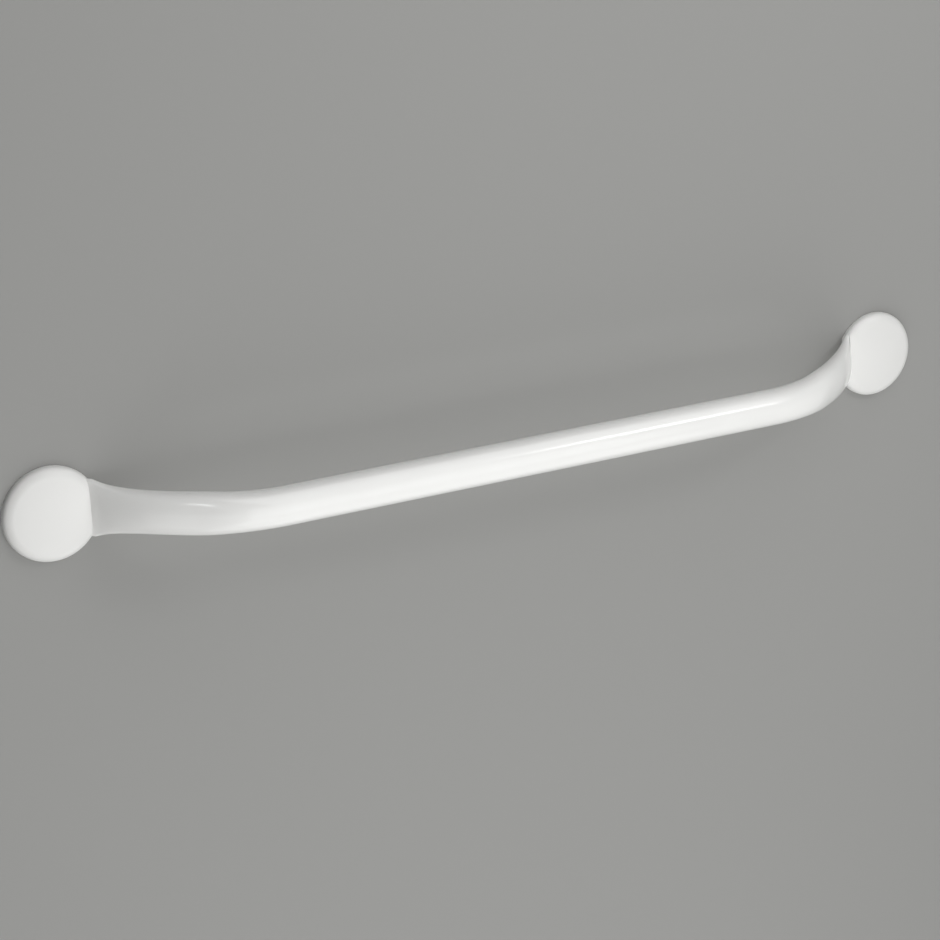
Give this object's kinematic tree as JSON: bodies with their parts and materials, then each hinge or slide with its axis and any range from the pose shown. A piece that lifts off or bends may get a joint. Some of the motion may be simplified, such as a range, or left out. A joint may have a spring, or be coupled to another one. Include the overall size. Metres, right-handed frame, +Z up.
{
  "type": "grab bar",
  "caption": "White moulded grab bar: a straight round grip on slanted legs that flatten and flare into round wall feet, each under a domed push-fit cover.",
  "frame": {"origin": "on the wall plane, midway between the two feet, at the middle of the four wall screws", "axes": "+X along the bar to the right as seen from the room, +Y into the wall, +Z up"},
  "size_m": [0.66, 0.117, 0.06],
  "materials": {
    "white_plastic": "glossy moulded white",
    "cover_plastic": "glossy moulded white",
    "screw_steel": "bright stainless steel"
  },
  "bodies": {
    "root": {"grip_bar": "white_plastic", "left_cover_cap": "cover_plastic", "right_cover_cap": "cover_plastic", "left_upper_screw": "screw_steel", "left_lower_screw": "screw_steel", "right_upper_screw": "screw_steel", "right_lower_screw": "screw_steel"}
  },
  "joints": []
}
